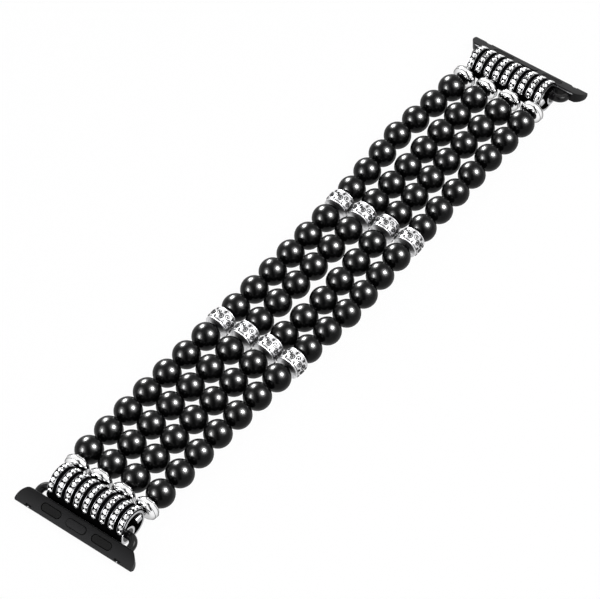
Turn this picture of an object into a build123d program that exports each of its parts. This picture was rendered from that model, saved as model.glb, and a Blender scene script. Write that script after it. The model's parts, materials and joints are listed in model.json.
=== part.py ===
from build123d import *
import os
from math import atan2, cos, degrees, hypot, pi, radians, sin, sqrt, tan

# Bead watch band: four elastic cords carry rows of round black beads, with two rows of
# engraved barrel spacers, a row of bright rondelles at each end, two crystal connectors
# and two adapters that slide into a watch case. Millimetres. X runs along the band, Y
# across it, Z up; the band lies flat, and the near end is at -X.

os.makedirs("parts", exist_ok=True)

# Beads and the spaces between them
bead_d = 6.2
bead_bore = 1.15
bead_gap = 0.1
side_gap = 0.03
side_spread = 1.5
band_drift = 1.1

# Barrel spacers
spacer_d = 5.9
spacer_len = 3.63
spacer_rim_w = 0.38
spacer_rim_step = 0.1
spacer_crown = 0.14
spacer_edge = 0.1
spacer_bore = 1.3

# Rondelles
rondelle_d = 5.6
rondelle_len = 2.6
rondelle_bore = 1.3

# Elastic cord and the crimps that end it
cord_d = 0.7
cord_bend_r = 25.0
crimp_d = 1.6
crimp_len = 1.4
crimp_clear = 0.02
crimp_setback = 0.36
cord_tail = 0.1

# Connector: a round shell with a curl that turns on the adapter's bar
connector_gap = 0.45
shell_r = 3.4
shell_t = 0.5
shell_half_w = 10.0
shell_lift = 0.15
shell_hole = 1.15
curl_t = 0.5
bar_d = 3.0
bar_clear = 0.08
bar_reach = 2.3
bar_dip_deg = 30

# Crystal rows on the connector
row_end_gap = 0.1
row_w = 1.4
row_base_h = 0.24
row_lip_w = 0.09
row_lip_h = 0.1
seat_clear = 0.02
crystal_d = 1.16
crystal_table_d = 0.66
crystal_crown_h = 0.2
crystal_girdle_h = 0.06
crystal_pavilion_h = 0.2
crystal_point_d = 0.3
enamel_t = 0.1
enamel_gap = 0.03

# Adapter: the lug that slides into the case, and its two arms
lug_len = 31.0
lug_depth = 3.7
lug_wall_gap = 2.48
lug_lift = 0.3
lug_top_z = 3.15
lug_wall_top_z = 2.75
lug_foot = 0.4
lug_tip_z = 1.35
lug_lip_z = 0.95
lug_lip_in = 0.12
lug_toe_in = 1.1
lug_top_in = 0.4
lug_plan_r_in = 3.2
lug_plan_r_out = 0.4
lug_edge_r = 0.1
lug_crest_r = 0.3
arm_d = 1.8
arm_bend_r = 1.7
arm_end_gap = 0.15
arm_lead = 0.35
arm_root_z = 1.75
arm_into_lug = 0.9
journal_d = 1.2
journal_len = 1.0
journal_clear = 0.02
sleeve_end_gap = 0.1
notch_y = 11.8
notch_w = 1.5
notch_in = 0.55
notch_h = 1.3
notch_rise = 0.45

# Pads and latch button on the lug's sloping face
pad_pitch = 6.7
pad_len = 5.2
pad_w = 1.9
pad_groove = 0.17
pad_depth = 0.6
pad_edge = 0.06
latch_mouth = 0.38
latch_pocket = 1.3
latch_flange = 0.14
latch_flange_h = 0.18
latch_proud = 0.22
latch_clear = 0.03
latch_gap = 0.12
latch_edge = 0.12
spring_d = 1.2
spring_wall = 0.2
spring_clear = 0.02

# Counts
strands = 4
crystal_rows = 9
crystals_per_row = 8
section_counts = (7, 6, 7)
crystal_first_deg = 26
crystal_step_deg = 20.6
strip_from_deg = 19
strip_to_deg = 173

# Sideways places of the strands as shares, read at seven stations along the band:
# first bead, fourth bead, near spacer, tenth bead, far spacer, 17th bead, last bead.
station_rows = (1, 4, 8, 11, 15, 19, 22)
drift_shares = (0.50, 0.45, -0.40, -1.00, -0.40, 0.50, 0.10)
open_shares = (
    (0.00, 0.00, 0.18, 0.06, 0.00, 0.75, 0.00),
    (0.00, 0.00, 0.10, 0.81, 0.00, 0.00, 0.24),
    (0.25, 0.13, 0.03, 0.00, 0.19, 0.37, 0.00),
)

# One overrun serves every cut.
overrun = 1.0

axis_z = bead_d / 2
row_pitch = (2 * (shell_half_w - row_end_gap) - row_w) / (crystal_rows - 1)

# Rows along the band
kinds = ["rondelle"] + ["bead"] * section_counts[0] + ["spacer"]
kinds += ["bead"] * section_counts[1] + ["spacer"]
kinds += ["bead"] * section_counts[2] + ["rondelle"]
half_len = {"rondelle": rondelle_len / 2, "bead": bead_d / 2, "spacer": spacer_len / 2}

row_x = [half_len[kinds[0]]]
for k in range(1, len(kinds)):
    row_x.append(row_x[-1] + half_len[kinds[k - 1]] + bead_gap + half_len[kinds[k]])
beads_half = (row_x[-1] + half_len[kinds[-1]]) / 2
row_x = [x - beads_half for x in row_x]

# Connector, bar and lug places, as distances from the band's middle
shell_u = beads_half + connector_gap + shell_r
shell_z = shell_lift + shell_r
hole_u = shell_u - shell_r
bar_u = shell_u + bar_reach * cos(radians(bar_dip_deg))
bar_z = shell_z - bar_reach * sin(radians(bar_dip_deg))
lug_u = bar_u + lug_wall_gap
crimp_u = hole_u + shell_t + crimp_setback
cord_end_u = crimp_u + crimp_len - cord_tail
cord_pitch = row_pitch * (crystal_rows - 1) / (strands - 1)

# Strand routes in plan
hole_y = [cord_pitch * ((strands - 1) / 2 - s) for s in range(strands)]


def station_y(strand, station):
    """Sideways place of one strand at one station."""
    pitches = [bead_d + side_gap + side_spread * shares[station] for shares in open_shares]
    offsets = [0.0]
    for pitch in pitches:
        offsets.append(offsets[-1] - pitch)
    middle = sum(offsets) / len(offsets)
    return offsets[strand] - middle + band_drift * drift_shares[station]


routes = []
for s in range(strands):
    route = [(-cord_end_u, hole_y[s]), (-hole_u, hole_y[s])]
    for n, row in enumerate(station_rows):
        route.append((row_x[row], station_y(s, n)))
    route += [(hole_u, hole_y[s]), (cord_end_u, hole_y[s])]
    routes.append(route)


def strand_place(strand, x):
    """Sideways place and heading in degrees of a strand at a distance along the band."""
    route = routes[strand]
    touch = bead_gap / 2
    before = [k for k in range(len(route) - 1) if route[k][0] - touch <= x <= route[k + 1][0] + touch]
    ways = []
    for k in before:
        (xa, ya), (xb, yb) = route[k], route[k + 1]
        ways.append((ya + (yb - ya) * (x - xa) / (xb - xa), degrees(atan2(yb - ya, xb - xa))))
    y = sum(way[0] for way in ways) / len(ways)
    heading = sum(way[1] for way in ways) / len(ways)
    return y, heading


# Beads, spacers and rondelles: each row is one node of four solids
with BuildPart() as spacer_master:
    with BuildSketch(Plane.XY) as spacer_profile:
        with BuildLine():
            rim_r = spacer_d / 2 - spacer_crown
            flat_u = spacer_len / 2 - spacer_rim_w
            Polyline(
                (-spacer_len / 2, spacer_bore / 2),
                (-spacer_len / 2, rim_r - spacer_edge),
                (-spacer_len / 2 + spacer_edge, rim_r),
                (-flat_u, rim_r),
                (-flat_u, rim_r - spacer_rim_step),
            )
            ThreePointArc(
                (-flat_u, rim_r - spacer_rim_step),
                (0, spacer_d / 2),
                (flat_u, rim_r - spacer_rim_step),
            )
            Polyline(
                (flat_u, rim_r - spacer_rim_step),
                (flat_u, rim_r),
                (spacer_len / 2 - spacer_edge, rim_r),
                (spacer_len / 2, rim_r - spacer_edge),
                (spacer_len / 2, spacer_bore / 2),
                (-spacer_len / 2, spacer_bore / 2),
            )
        make_face()
    revolve(axis=Axis.X)

with BuildPart() as rondelle_master:
    with BuildSketch(Plane.XY) as rondelle_profile:
        with BuildLine():
            rim_in = rondelle_d / 2 - rondelle_len / 2
            Polyline(
                (-rondelle_len / 2, rim_in),
                (-rondelle_len / 2, rondelle_bore / 2),
                (rondelle_len / 2, rondelle_bore / 2),
                (rondelle_len / 2, rim_in),
            )
            ThreePointArc(
                (rondelle_len / 2, rim_in),
                (0, rondelle_d / 2),
                (-rondelle_len / 2, rim_in),
            )
        make_face()
    revolve(axis=Axis.X)

with BuildPart() as bead_master:
    with BuildSketch(Plane.XY) as bead_profile:
        with BuildLine():
            bead_mouth = sqrt(bead_d**2 - bead_bore**2) / 2
            ThreePointArc((-bead_mouth, bead_bore / 2), (0, bead_d / 2), (bead_mouth, bead_bore / 2))
            Line((bead_mouth, bead_bore / 2), (-bead_mouth, bead_bore / 2))
        make_face()
    revolve(axis=Axis.X)

masters = {"bead": bead_master, "spacer": spacer_master, "rondelle": rondelle_master}
bead_count = 0
spacer_count = 0
for k, kind in enumerate(kinds):
    if kind == "bead":
        bead_count += 1
        name = f"bead_row_{bead_count:02d}"
    elif kind == "spacer":
        spacer_count += 1
        name = "near_spacer_row" if spacer_count == 1 else "far_spacer_row"
    else:
        name = "near_rondelle_row" if k == 0 else "far_rondelle_row"
    with BuildPart() as row:
        for s in range(strands):
            y, heading = strand_place(s, row_x[k])
            with Locations(Location((row_x[k], y, axis_z), (0, 0, heading))):
                add(masters[kind].part)
    row.part.label = name
    export_step(row.part, f"parts/{name}.step")

# Elastic cords, whole, from crimp to crimp. A bend keeps within half of each run that it
# joins, or within the whole of an end run.
for s in range(strands):
    points = [(x, y, axis_z) for x, y in routes[s]]
    rooms = [hypot(b[0] - a[0], b[1] - a[1]) / 2 for a, b in zip(routes[s], routes[s][1:])]
    rooms[0] *= 2
    rooms[-1] *= 2
    turns = []
    bend_r = cord_bend_r
    for k, (a, b, c) in enumerate(zip(routes[s], routes[s][1:], routes[s][2:])):
        turn = atan2(c[1] - b[1], c[0] - b[0]) - atan2(b[1] - a[1], b[0] - a[0])
        turns.append(degrees(turn))
        if turn:
            bend_r = min(bend_r, min(rooms[k], rooms[k + 1]) / abs(tan(turn / 2)))
    print("cord", s + 1, "bend radius", bend_r, "turns", [round(t, 2) for t in turns])
    with BuildPart() as cord:
        with BuildLine() as cord_line:
            FilletPolyline(*points, radius=bend_r)
        with BuildSketch(Plane(origin=points[0], z_dir=(1, 0, 0))):
            Circle(cord_d / 2)
        sweep(path=cord_line.wires()[0])
    run = cord_line.wires()[0].length
    print("  volume", round(cord.part.volume, 3), "expected", round(pi * cord_d**2 / 4 * run, 3))
    cord.part.label = f"elastic_cord_{s + 1}"
    export_step(cord.part, f"parts/elastic_cord_{s + 1}.step")

# Sizes that both ends share
base_r = shell_r + seat_clear
girdle_r = base_r + row_base_h
curl_r = bar_d / 2 + bar_clear
row_ys = [row_pitch * (n - (crystal_rows - 1) / 2) for n in range(crystal_rows)]
crystal_degs = [crystal_first_deg + crystal_step_deg * n for n in range(crystals_per_row)]
arm_face_y = shell_half_w + arm_end_gap
arm_corner_y = arm_face_y + arm_lead + arm_bend_r
arm_slope = atan2(bar_z - arm_root_z, lug_wall_gap)
arm_run = lug_wall_gap / cos(arm_slope) + arm_into_lug
tip_u = lug_u + lug_depth
top_u = lug_u + lug_top_in
face_len = hypot(tip_u - top_u, lug_top_z - lug_tip_z)
face_out = ((lug_top_z - lug_tip_z) / face_len, (tip_u - top_u) / face_len)
face_mid = ((tip_u + top_u) / 2, (lug_top_z + lug_tip_z) / 2)
latch_seat = latch_mouth + latch_clear
latch_foot = latch_seat + latch_flange_h
spring_len = latch_pocket - latch_foot - 2 * spring_clear

# One crystal, point down, with the foot of its girdle on the local plane
with BuildPart() as crystal_master:
    with BuildSketch(Plane.XY):
        RegularPolygon(crystal_d / 2, 8)
    extrude(amount=crystal_girdle_h)
    with BuildSketch(Plane.XY.offset(crystal_girdle_h)):
        RegularPolygon(crystal_d / 2, 8)
    with BuildSketch(Plane.XY.offset(crystal_girdle_h + crystal_crown_h)):
        RegularPolygon(crystal_table_d / 2, 8)
    loft()
    with BuildSketch(Plane.XY.offset(-crystal_pavilion_h)):
        RegularPolygon(crystal_point_d / 2, 8)
    with BuildSketch(Plane.XY):
        RegularPolygon(crystal_d / 2, 8)
    loft()


def side_plane(way, y=0.0):
    """Side view plane: local x runs outwards from the band's middle, local y is up."""
    return Plane(origin=(0, y, 0), x_dir=(way, 0, 0), z_dir=(0, -way, 0))


def round_place(way, angle_deg, radius, y):
    """Plane on the shell's round, facing out; the angle starts on the bead side."""
    angle = radians(180 - angle_deg)
    spot = (way * (shell_u + radius * cos(angle)), y, shell_z + radius * sin(angle))
    return Plane(origin=spot, x_dir=(0, 1, 0), z_dir=(way * cos(angle), 0, sin(angle)))


def round_point(radius, angle):
    """Point on the shell's round in the side view."""
    return (shell_u + radius * cos(angle), shell_z + radius * sin(angle))


def arc_strip(inner_r, outer_r):
    """Side outline of a strip that follows the shell's round."""
    start = radians(180 - strip_from_deg)
    stop = radians(180 - strip_to_deg)
    middle = (start + stop) / 2
    ThreePointArc(round_point(inner_r, start), round_point(inner_r, middle), round_point(inner_r, stop))
    Line(round_point(inner_r, stop), round_point(outer_r, stop))
    ThreePointArc(round_point(outer_r, stop), round_point(outer_r, middle), round_point(outer_r, start))
    Line(round_point(outer_r, start), round_point(inner_r, start))


def face_plane(way, y=0.0, depth=0.0):
    """Plane on the lug's sloping face, local x across the band, z out of the face."""
    spot = (way * (face_mid[0] - depth * face_out[0]), y, face_mid[1] - depth * face_out[1])
    return Plane(origin=spot, x_dir=(0, 1, 0), z_dir=(way * face_out[0], 0, face_out[1]))


for end, way in (("near", -1), ("far", 1)):
    # Shell with the curl that wraps the bar, and four holes for the cords
    with BuildPart() as shell:
        with BuildSketch(side_plane(way)):
            with Locations((shell_u, shell_z)):
                Circle(shell_r)
                Circle(shell_r - shell_t, mode=Mode.SUBTRACT)
            with Locations((bar_u, bar_z)):
                Circle(curl_r + curl_t)
                Circle(curl_r, mode=Mode.SUBTRACT)
        extrude(amount=shell_half_w, both=True)
        hole_start = (way * (shell_u - shell_r / 2), 0, axis_z)
        with BuildSketch(Plane(origin=hole_start, x_dir=(0, 1, 0), z_dir=(-way, 0, 0))):
            with GridLocations(cord_pitch, cord_pitch, strands, 1):
                Circle(shell_hole / 2)
        extrude(amount=shell_r, mode=Mode.SUBTRACT)
    shell.part.label = f"{end}_connector_shell"
    export_step(shell.part, f"parts/{end}_connector_shell.step")

    # One row's setting: a base with two low lips and a seat for each crystal
    with BuildPart() as strip_master:
        with BuildSketch(side_plane(way)):
            with BuildLine():
                arc_strip(base_r, girdle_r + row_lip_h)
            make_face()
        extrude(amount=row_w / 2, both=True)
        with BuildSketch(side_plane(way)):
            with Locations((shell_u, shell_z)):
                Circle(girdle_r + row_lip_h + overrun)
                Circle(girdle_r, mode=Mode.SUBTRACT)
        extrude(amount=row_w / 2 - row_lip_w, both=True, mode=Mode.SUBTRACT)
        for angle_deg in crystal_degs:
            with Locations(round_place(way, angle_deg, girdle_r, 0)):
                Cone(
                    crystal_point_d / 2 + seat_clear,
                    crystal_d / 2 + seat_clear,
                    crystal_pavilion_h + seat_clear,
                    align=(Align.CENTER, Align.CENTER, Align.MAX),
                    mode=Mode.SUBTRACT,
                )
    with BuildPart() as settings:
        with Locations(*[(0, y, 0) for y in row_ys]):
            add(strip_master.part)
    settings.part.label = f"{end}_crystal_settings"
    export_step(settings.part, f"parts/{end}_crystal_settings.step")

    with BuildPart() as crystals:
        with Locations(*[round_place(way, a, girdle_r, y) for y in row_ys for a in crystal_degs]):
            add(crystal_master.part)
    crystals.part.label = f"{end}_crystals"
    export_step(crystals.part, f"parts/{end}_crystals.step")

    # Black enamel in the grooves between the crystal rows
    with BuildPart() as enamel:
        for n in range(crystal_rows - 1):
            with BuildSketch(side_plane(way, row_ys[n] + row_pitch / 2)):
                with BuildLine():
                    arc_strip(base_r, base_r + enamel_t)
                make_face()
            extrude(amount=(row_pitch - row_w) / 2 - enamel_gap, both=True)
    enamel.part.label = f"{end}_enamel_strips"
    export_step(enamel.part, f"parts/{end}_enamel_strips.step")

    # Crimps that end the cords inside the shell
    with BuildPart() as crimps:
        with BuildSketch(Plane(origin=(way * crimp_u, 0, axis_z), x_dir=(0, 1, 0), z_dir=(way, 0, 0))):
            with GridLocations(cord_pitch, cord_pitch, strands, 1):
                Circle(crimp_d / 2)
                Circle(cord_d / 2 + crimp_clear, mode=Mode.SUBTRACT)
        extrude(amount=crimp_len)
    crimps.part.label = f"{end}_cord_crimps"
    export_step(crimps.part, f"parts/{end}_cord_crimps.step")

    # Hinge bar: a sleeve in the curl, with a thin journal at each end
    with BuildPart() as bar:
        with BuildSketch(side_plane(way)):
            with Locations((bar_u, bar_z)):
                Circle(bar_d / 2)
        extrude(amount=arm_face_y - sleeve_end_gap, both=True)
        with BuildSketch(side_plane(way)):
            with Locations((bar_u, bar_z)):
                Circle(journal_d / 2)
        extrude(amount=arm_face_y + journal_len, both=True)
    bar.part.label = f"{end}_hinge_bar"
    export_step(bar.part, f"parts/{end}_hinge_bar.step")

    # Lug and arms: the face slopes from the top edge down to the outer tip
    arm_plane = Plane(
        origin=(way * bar_u, 0, bar_z),
        x_dir=(way * cos(arm_slope), 0, -sin(arm_slope)),
        z_dir=(way * sin(arm_slope), 0, cos(arm_slope)),
    )
    with BuildPart() as lug:
        with BuildSketch(side_plane(way)) as lug_side:
            with BuildLine():
                Polyline(
                    (lug_u, lug_lift + lug_foot),
                    (lug_u, lug_wall_top_z),
                    (top_u, lug_top_z),
                    (tip_u, lug_tip_z),
                    (tip_u - lug_lip_in, lug_lip_z),
                    (tip_u - lug_toe_in, lug_lift),
                    (lug_u + lug_foot, lug_lift),
                    close=True,
                )
            make_face()
            fillet(lug_side.vertices().sort_by(Axis.Y)[-2:], lug_crest_r)
            fillet(lug_side.vertices().sort_by(Axis.X)[-1], lug_edge_r)
        extrude(amount=lug_len / 2, both=True)
        with BuildSketch(Plane.XY) as lug_plan:
            with Locations((way * (lug_u + lug_depth / 2), 0)):
                Rectangle(lug_depth, lug_len)
            inner = 0 if way > 0 else -1
            outer = -1 if way > 0 else 0
            fillet(lug_plan.vertices().group_by(Axis.X)[inner], lug_plan_r_in)
            fillet(lug_plan.vertices().group_by(Axis.X)[outer], lug_plan_r_out)
        extrude(amount=lug_top_z + overrun, mode=Mode.INTERSECT)
        fillet(lug.edges().group_by(Axis.Z)[0], lug_edge_r)
        for side in (-1, 1):
            with BuildLine(arm_plane) as arm_line:
                FilletPolyline(
                    (0, side * arm_face_y),
                    (0, side * arm_corner_y),
                    (arm_run, side * arm_corner_y),
                    radius=arm_bend_r,
                )
            arm_start = arm_line.wires()[0] @ 0
            with BuildSketch(Plane(origin=arm_start, z_dir=arm_line.wires()[0] % 0)):
                Circle(arm_d / 2)
            sweep(path=arm_line.wires()[0])
        # Sockets for the bar's journals
        for side in (-1, 1):
            socket_start = (way * bar_u, side * (arm_face_y - overrun), bar_z)
            with BuildSketch(Plane(origin=socket_start, z_dir=(0, side, 0))):
                Circle(journal_d / 2 + journal_clear)
            extrude(amount=overrun + journal_len + sleeve_end_gap, mode=Mode.SUBTRACT)
        # Seats for the two pads, then the latch button's mouth and pocket
        for side in (-1, 1):
            with BuildSketch(face_plane(way, side * pad_pitch)):
                SlotOverall(pad_len, pad_w)
            extrude(amount=-pad_depth, mode=Mode.SUBTRACT)
        with BuildSketch(face_plane(way)):
            SlotOverall(pad_len, pad_w)
        extrude(amount=-latch_mouth, mode=Mode.SUBTRACT)
        with BuildSketch(face_plane(way, 0, latch_mouth)):
            SlotOverall(pad_len + 2 * latch_flange, pad_w + 2 * latch_flange)
        extrude(amount=latch_mouth - latch_pocket, mode=Mode.SUBTRACT)
        # Two notches through the lip at the outer edge
        notch_z = lug_tip_z + notch_rise
        notch_spots = [(way * (tip_u - notch_in), side * notch_y, notch_z) for side in (-1, 1)]
        for spot in notch_spots:
            with BuildSketch(Plane(origin=spot, x_dir=(0, 1, 0), z_dir=(way, 0, 0))):
                with Locations((0, -way * notch_h / 2)):
                    Rectangle(notch_w, notch_h)
            extrude(amount=notch_in + overrun, mode=Mode.SUBTRACT)
    lug.part.label = f"{end}_adapter"
    export_step(lug.part, f"parts/{end}_adapter.step")

    with BuildPart() as pads:
        for side in (-1, 1):
            with BuildSketch(face_plane(way, side * pad_pitch, pad_depth)):
                SlotOverall(pad_len - 2 * pad_groove, pad_w - 2 * pad_groove)
            extrude(amount=pad_depth)
        face_axis = Axis(face_plane(way).origin, face_plane(way).z_dir)
        chamfer(pads.faces().sort_by(face_axis)[-2:].edges(), pad_edge)
    pads.part.label = f"{end}_adapter_pads"
    export_step(pads.part, f"parts/{end}_adapter_pads.step")

    with BuildPart() as button:
        with BuildSketch(face_plane(way, 0, latch_foot)):
            SlotOverall(
                pad_len + 2 * latch_flange - 2 * latch_clear,
                pad_w + 2 * latch_flange - 2 * latch_clear,
            )
        extrude(amount=latch_flange_h)
        with BuildSketch(face_plane(way, 0, latch_seat)):
            SlotOverall(pad_len - 2 * latch_gap, pad_w - 2 * latch_gap)
        extrude(amount=latch_seat + latch_proud)
        fillet(button.faces().sort_by(face_axis)[-1].edges(), latch_edge)
    button.part.label = f"{end}_latch_button"
    export_step(button.part, f"parts/{end}_latch_button.step")

    with BuildPart() as spring:
        with BuildSketch(face_plane(way, 0, latch_pocket - spring_clear)):
            Circle(spring_d / 2)
            Circle(spring_d / 2 - spring_wall, mode=Mode.SUBTRACT)
        extrude(amount=spring_len)
    spring.part.label = f"{end}_latch_spring"
    export_step(spring.part, f"parts/{end}_latch_spring.step")

print("length", 2 * tip_u, "bar", bar_u, bar_z, "shell", shell_u, shell_z)
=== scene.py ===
"""Looks of a bead watch band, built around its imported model.

Four elastic cords carry rows of polished black beads. Two rows of engraved barrel spacers and
two rows of bright rondelles break them up, a connector set with crystals closes each end, and
a hinged adapter at each end slides into a watch case. Everything stands in the frame of the
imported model, in metres, with X along the band, Y across it and Z up.
"""

from __future__ import annotations

import json
import logging
from dataclasses import dataclass, field
from enum import Enum
from math import atan2, cos, hypot, pi, radians, sin, sqrt, tau
from typing import Callable, Iterable

import bmesh
import bpy
from mathutils import Matrix, Vector

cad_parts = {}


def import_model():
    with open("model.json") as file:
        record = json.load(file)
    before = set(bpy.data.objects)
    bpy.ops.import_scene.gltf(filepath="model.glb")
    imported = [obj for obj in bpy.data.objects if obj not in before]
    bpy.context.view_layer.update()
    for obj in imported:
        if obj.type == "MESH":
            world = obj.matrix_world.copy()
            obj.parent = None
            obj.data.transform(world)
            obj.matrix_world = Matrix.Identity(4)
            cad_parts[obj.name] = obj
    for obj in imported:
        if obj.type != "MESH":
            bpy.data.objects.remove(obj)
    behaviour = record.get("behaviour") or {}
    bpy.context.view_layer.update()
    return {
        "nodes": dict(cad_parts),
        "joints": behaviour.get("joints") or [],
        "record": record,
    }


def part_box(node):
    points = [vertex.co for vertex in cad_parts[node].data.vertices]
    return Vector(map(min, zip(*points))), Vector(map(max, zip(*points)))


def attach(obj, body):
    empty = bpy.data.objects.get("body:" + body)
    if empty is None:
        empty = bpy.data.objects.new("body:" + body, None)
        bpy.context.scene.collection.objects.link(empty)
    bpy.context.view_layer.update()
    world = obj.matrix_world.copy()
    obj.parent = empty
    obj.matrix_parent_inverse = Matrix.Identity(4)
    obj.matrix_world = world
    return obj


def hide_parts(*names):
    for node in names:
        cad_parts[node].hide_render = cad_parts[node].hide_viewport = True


MM = 0.001
STRANDS = 4
SIDES = (-1, 1)
# All four packed cords ride on this one body.
CORD_BODY = "bead_row_10"
WELD = 0.001 * MM
SMOOTH_DEG = 35.0
RISING = (0.0, 1.0)
FALLING = (1.0, 0.0)
WHITE = (1.0, 1.0, 1.0, 1.0)
SMUDGES = {"Scale": 220.0, "Detail": 3.0, "Roughness": 0.55}
SMUDGE_FROM = 0.38
SMUDGE_STOP = 0.68
GRAIN = {"Scale": 5200.0, "Detail": 2.0}

Colour = tuple[float, float, float]
Pair = tuple[float, float]
Flat = list[Pair]
Obj = bpy.types.Object
Socket = bpy.types.NodeSocket

log = logging.getLogger("band")


class End(Enum):
    """The two ends of the band, with the way that each faces along X."""

    NEAR = -1
    FAR = 1

    @property
    def label(self) -> str:
        """The end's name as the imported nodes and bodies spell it."""
        return self.name.lower()


# Modelling helpers


def deselect_all() -> None:
    """Leaves edit mode and deselects every object."""
    if bpy.context.object and bpy.context.object.mode != "OBJECT":
        bpy.ops.object.mode_set(mode="OBJECT")
    bpy.ops.object.select_all(action="DESELECT")


def activate(obj: Obj) -> None:
    """Makes one object the only selected and active one.

    Args:
        obj: The object.
    """
    deselect_all()
    obj.select_set(True)
    bpy.context.view_layer.objects.active = obj


def linked(name: str, data: bpy.types.ID) -> Obj:
    """Adds an object to the scene.

    Args:
        name: Its name.
        data: Its mesh, curve, camera or light.

    Returns:
        The object.
    """
    obj = bpy.data.objects.new(name, data)
    bpy.context.scene.collection.objects.link(obj)
    return obj


def stood(spot: Vector, across: Vector, up: Vector, out: Vector) -> Matrix:
    """A matrix that stands something at a spot, turned to three axes."""
    return Matrix.Translation(spot) @ Matrix((across, up, out)).transposed().to_4x4()


def added(operator: Callable, name: str, **settings: object) -> Obj:
    """Adds a mesh primitive.

    Args:
        operator: The operator that adds it.
        name: The piece's name.
        **settings: What the operator takes.

    Returns:
        The object.
    """
    deselect_all()
    operator(**settings)
    obj = bpy.context.object
    obj.name = name
    obj.data.name = name
    return obj


def pick_faces(obj: Obj, test: Callable[[Vector], bool]) -> None:
    """Selects the faces of a mesh whose middle passes a test, and stays in edit mode.

    Args:
        obj: The mesh object, which is made active.
        test: Takes a face's middle and says whether it is picked.
    """
    activate(obj)
    bpy.ops.object.mode_set(mode="EDIT")
    bpy.ops.mesh.select_mode(type="FACE")
    bpy.ops.mesh.select_all(action="DESELECT")
    mesh = bmesh.from_edit_mesh(obj.data)
    for face in mesh.faces:
        face.select_set(test(face.calc_center_median()))
    bmesh.update_edit_mesh(obj.data)


def settle(obj: Obj, faceted: bool = False) -> Obj:
    """Puts a piece's place into its mesh, cleans it and shades it.

    Args:
        obj: The piece.
        faceted: Whether its facets stay flat.

    Returns:
        The same piece.
    """
    activate(obj)
    bpy.ops.object.transform_apply(location=True, rotation=True, scale=True)
    bpy.ops.object.mode_set(mode="EDIT")
    bpy.ops.mesh.select_all(action="SELECT")
    bpy.ops.mesh.remove_doubles(threshold=WELD)
    bpy.ops.mesh.normals_make_consistent(inside=False)
    bpy.ops.object.mode_set(mode="OBJECT")
    if faceted:
        bpy.ops.object.shade_flat()
    else:
        bpy.ops.object.shade_smooth_by_angle(angle=radians(SMOOTH_DEG))
    return obj


def ball(name: str, radius: float, detail: int, spot: Iterable[float] = (0, 0, 0)) -> Obj:
    """A ball about a spot; a detail of 1 gives it twenty faces."""
    operator = bpy.ops.mesh.primitive_ico_sphere_add
    return settle(added(operator, name, subdivisions=detail, radius=radius, location=spot))


def turned(name: str, outline: Flat, steps: int) -> Obj:
    """Turns a closed outline about the X axis, as on a lathe.

    Args:
        name: The piece's name.
        outline: Corners as (place along X, radius), going round the wall's section.
        steps: How many steps make the full turn.

    Returns:
        The turned piece, at the origin.
    """
    obj = added(bpy.ops.mesh.primitive_circle_add, name, vertices=len(outline), radius=MM)
    for vert, (x, radius) in zip(obj.data.vertices, outline):
        vert.co = (x, 0.0, radius)
    bpy.ops.object.mode_set(mode="EDIT")
    bpy.ops.mesh.select_all(action="SELECT")
    bpy.ops.mesh.spin(steps=steps, angle=tau, center=(0, 0, 0), axis=(1, 0, 0))
    return settle(obj)


def spiral(count: int, radii: Pair, angles: Pair) -> Flat:
    """Points of a flat spiral about zero, or of an arc where both radii are the same.

    Args:
        count: How many steps it has.
        radii: First and last radius.
        angles: First and last angle in radians.

    Returns:
        The points, both ends included.
    """
    points = []
    for n in range(count + 1):
        radius = radii[0] + (radii[1] - radii[0]) * n / count
        angle = angles[0] + (angles[1] - angles[0]) * n / count
        points.append((radius * cos(angle), radius * sin(angle)))
    return points


def arc(count: int, radius: float, angles: Pair, centre: Pair) -> Flat:
    """An arc's points, both ends included, about a centre."""
    points = spiral(count, (radius, radius), angles)
    return [(centre[0] + x, centre[1] + y) for x, y in points]


def copies(master: Obj, name: str, places: Iterable[Matrix]) -> Obj:
    """Copies a master to each place and joins the copies into one piece.

    Args:
        master: The piece that is copied; it stays as it is.
        name: Name of the joined piece.
        places: Where each copy goes.

    Returns:
        The joined piece, at the origin.
    """
    made = []
    for place in places:
        mesh = master.data.copy()
        mesh.transform(place)
        made.append(linked(name, mesh))
    return joined(made, name)


def joined(parts: list[Obj], name: str) -> Obj:
    """Joins parts into one piece.

    Args:
        parts: Mesh objects, the first of which takes the others in.
        name: The piece's name.

    Returns:
        The joined piece.
    """
    deselect_all()
    for part in parts:
        part.select_set(True)
    bpy.context.view_layer.objects.active = parts[0]
    if len(parts) > 1:
        bpy.ops.object.join()
    parts[0].name = name
    parts[0].data.name = name
    return parts[0]


def discard(*masters: Obj) -> None:
    """Removes masters that have been copied."""
    for master in masters:
        bpy.data.objects.remove(master, do_unlink=True)


def wire(name: str, lines: list[list[Vector]], radius: float, sides: int) -> Obj:
    """Round wire along one or more lines, as a mesh.

    Args:
        name: The piece's name.
        lines: The points of each wire's middle line.
        radius: The wire's radius.
        sides: Extra resolution of the round section; 1 gives six sides.

    Returns:
        The wire as a mesh object at the origin.
    """
    curve = bpy.data.curves.new(name, "CURVE")
    curve.dimensions = "3D"
    curve.bevel_depth = radius
    curve.bevel_resolution = sides
    curve.use_fill_caps = True
    for line in lines:
        spline = curve.splines.new("POLY")
        spline.points.add(len(line) - 1)
        for point, place in zip(spline.points, line):
            point.co = (*place, 1.0)
    activate(linked(name, curve))
    bpy.ops.object.convert(target="MESH")
    return settle(bpy.context.object)


# Shader helpers


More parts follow.
